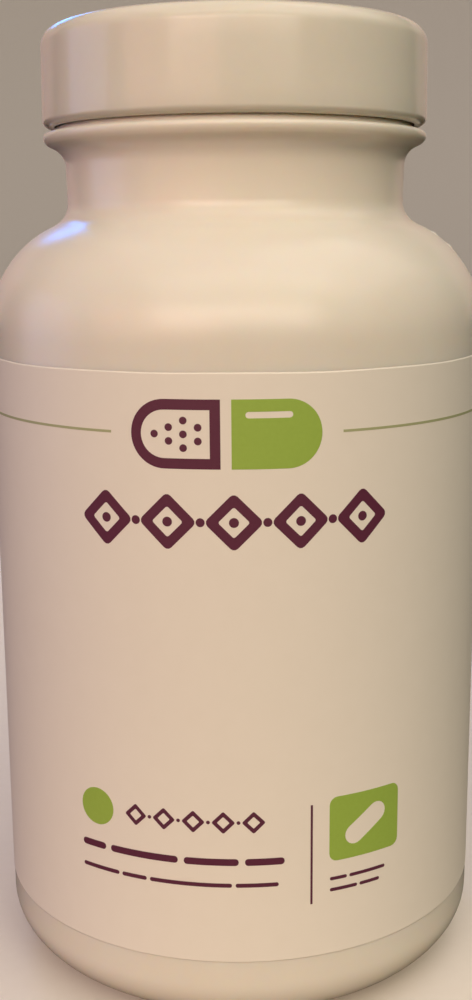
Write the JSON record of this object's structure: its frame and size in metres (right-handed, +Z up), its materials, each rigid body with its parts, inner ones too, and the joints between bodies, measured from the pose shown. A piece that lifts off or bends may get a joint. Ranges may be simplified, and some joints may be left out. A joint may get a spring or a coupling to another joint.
{
  "type": "supplement bottle",
  "caption": "Wide-mouth white plastic capsule bottle with a smooth screw cap, a liner and a wrap-round label; the cap unscrews and lifts clear of the lip.",
  "frame": {"origin": "middle of the base, on the plane of the ring that the bottle stands on", "axes": "+Z up along the bottle's axis, -Y out of the front of the label, +Y out of the gap between the label's ends"},
  "size_m": [0.0628, 0.0627, 0.1188],
  "materials": {
    "white_hdpe": "satin blow-moulded polyethylene",
    "white_pp": "satin moulded polypropylene",
    "label_paper": "smooth coated paper with a light sheen",
    "liner_foam": "matt foamed polyethylene"
  },
  "bodies": {
    "bottle": {"bottle": "white_hdpe", "label": "label_paper"},
    "liner": {"liner": "liner_foam"},
    "cap": {"cap": "white_pp"}
  },
  "joints": [
    {"name": "cap_rise", "type": "slide", "parent": "bottle", "child": "liner", "axis": [0, 0, 1], "range_m": [0, 0.01058]},
    {"name": "cap_turn", "type": "hinge", "parent": "liner", "child": "cap", "pos_m": [0, 0, 0.10707], "axis": [0, 0, 1], "range_deg": [0, 900]}
  ],
  "couplings": [
    {"joint": "cap_rise", "follows": "cap_turn", "m_per_rad": 0.00067376}
  ]
}
